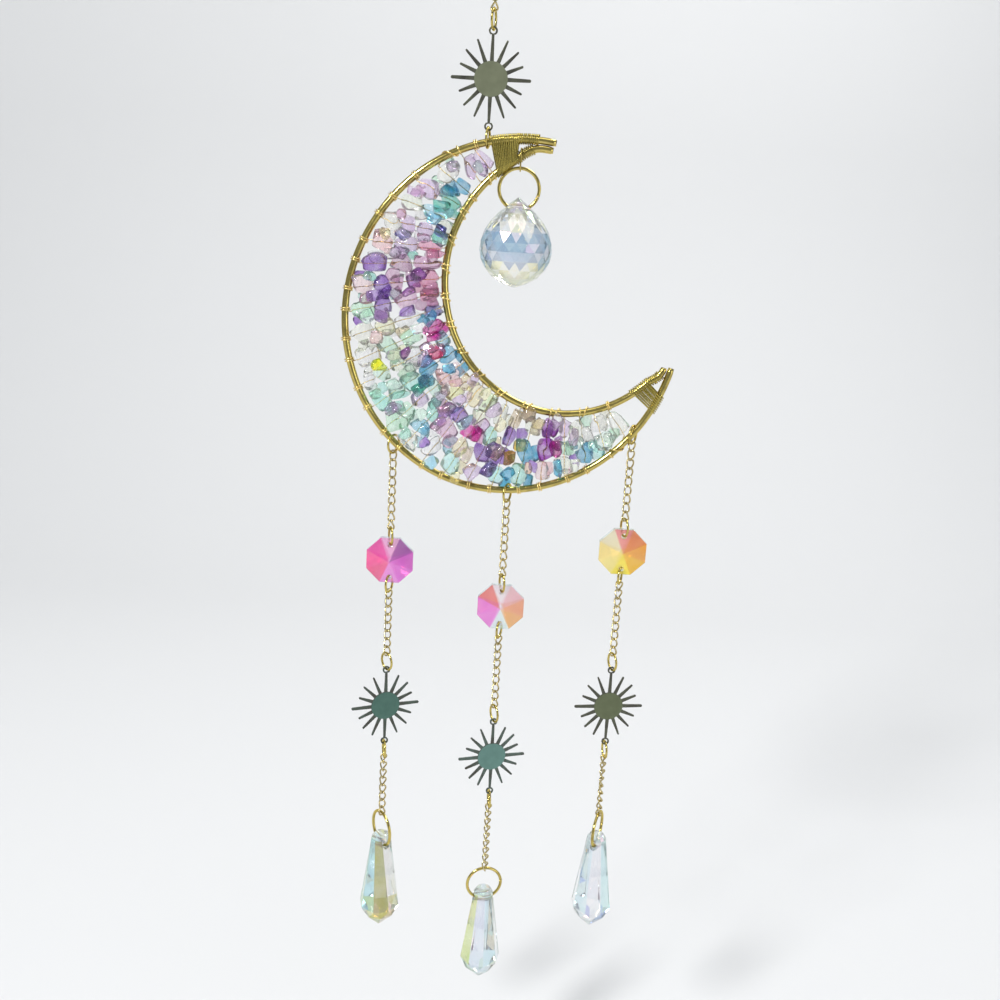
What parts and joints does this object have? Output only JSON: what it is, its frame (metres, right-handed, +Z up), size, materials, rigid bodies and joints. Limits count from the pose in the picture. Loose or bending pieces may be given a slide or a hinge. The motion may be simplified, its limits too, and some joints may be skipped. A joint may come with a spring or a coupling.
{
  "type": "crystal suncatcher",
  "caption": "Hanging suncatcher: wire crescent laced with tumbled stone chips, a faceted crystal ball inside it, and strands of octagon crystals, sun charms and long crystal drops.",
  "frame": {"origin": "contact point inside the top of the hanging ring, where a hook or nail carries the part", "axes": "+Z up along the hanging line, -Y towards the viewer of the front, +X to the viewer's right"},
  "size_m": [0.0964, 0.019, 0.331],
  "materials": {
    "gold_wire": "bright gold-plated wire, polished",
    "chain_gold": "fine gold-plated curb chain, polished",
    "top_sun": "dark olive-grey metal, polished",
    "crystal_ball": "clear cut crystal with an iridescent film",
    "left_octagon": "cut crystal with a pink iridescent film",
    "left_sun": "dark green metal, polished",
    "left_drop": "clear cut crystal with an olive and aqua iridescent film",
    "middle_octagon": "clear cut crystal with a magenta and orange iridescent film",
    "middle_sun": "dark teal-grey metal, polished",
    "middle_drop": "clear cut crystal with a pale iridescent film",
    "right_octagon": "cut crystal with a yellow and pink iridescent film",
    "right_sun": "dark olive metal, polished",
    "right_drop": "clear cut crystal with a pale aqua iridescent film",
    "stones_01": "polished tumbled stone chips of mixed colours on fine gold wire",
    "stones_02": "polished tumbled stone chips of mixed colours on fine gold wire",
    "stones_03": "polished tumbled stone chips of mixed colours on fine gold wire",
    "stones_04": "polished tumbled stone chips of mixed colours on fine gold wire",
    "stones_05": "polished tumbled stone chips of mixed colours on fine gold wire",
    "stones_06": "polished tumbled stone chips of mixed colours on fine gold wire",
    "stones_07": "polished tumbled stone chips of mixed colours on fine gold wire",
    "stones_08": "polished tumbled stone chips of mixed colours on fine gold wire",
    "stones_09": "polished tumbled stone chips of mixed colours on fine gold wire",
    "stones_10": "polished tumbled stone chips of mixed colours on fine gold wire",
    "stones_11": "polished tumbled stone chips of mixed colours on fine gold wire",
    "stones_12": "polished tumbled stone chips of mixed colours on fine gold wire"
  },
  "bodies": {
    "root": {"hang_ring": "gold_wire", "hang_chain": "chain_gold", "top_ring": "gold_wire", "top_sun": "top_sun", "moon_ring": "gold_wire", "moon_outer_wire": "gold_wire", "moon_inner_wire": "gold_wire", "top_horn_wrap": "gold_wire", "right_horn_wrap": "gold_wire", "ball_hook": "gold_wire", "ball_ring": "gold_wire", "crystal_ball": "crystal_ball", "left_frame_ring": "gold_wire", "left_upper_chain": "chain_gold", "left_bead_ring_top": "gold_wire", "left_octagon": "left_octagon", "left_bead_ring_bottom": "gold_wire", "left_middle_chain": "chain_gold", "left_sun_ring_top": "gold_wire", "left_sun": "left_sun", "left_sun_ring_bottom": "gold_wire", "left_lower_chain": "chain_gold", "left_drop_ring": "gold_wire", "left_drop": "left_drop", "middle_frame_ring": "gold_wire", "middle_upper_chain": "chain_gold", "middle_bead_ring_top": "gold_wire", "middle_octagon": "middle_octagon", "middle_bead_ring_bottom": "gold_wire", "middle_middle_chain": "chain_gold", "middle_sun_ring_top": "gold_wire", "middle_sun": "middle_sun", "middle_sun_ring_bottom": "gold_wire", "middle_lower_chain": "chain_gold", "middle_drop_ring": "gold_wire", "middle_drop": "middle_drop", "right_frame_ring": "gold_wire", "right_upper_chain": "chain_gold", "right_bead_ring_top": "gold_wire", "right_octagon": "right_octagon", "right_bead_ring_bottom": "gold_wire", "right_middle_chain": "chain_gold", "right_sun_ring_top": "gold_wire", "right_sun": "right_sun", "right_sun_ring_bottom": "gold_wire", "right_lower_chain": "chain_gold", "right_drop_ring": "gold_wire", "right_drop": "right_drop", "bead_string_01": "stones_01", "bead_string_02": "stones_02", "bead_string_03": "stones_03", "bead_string_04": "stones_04", "bead_string_05": "stones_05", "bead_string_06": "stones_06", "bead_string_07": "stones_07", "bead_string_08": "stones_08", "bead_string_09": "stones_09", "bead_string_10": "stones_10", "bead_string_11": "stones_11", "bead_string_12": "stones_12"}
  },
  "joints": []
}
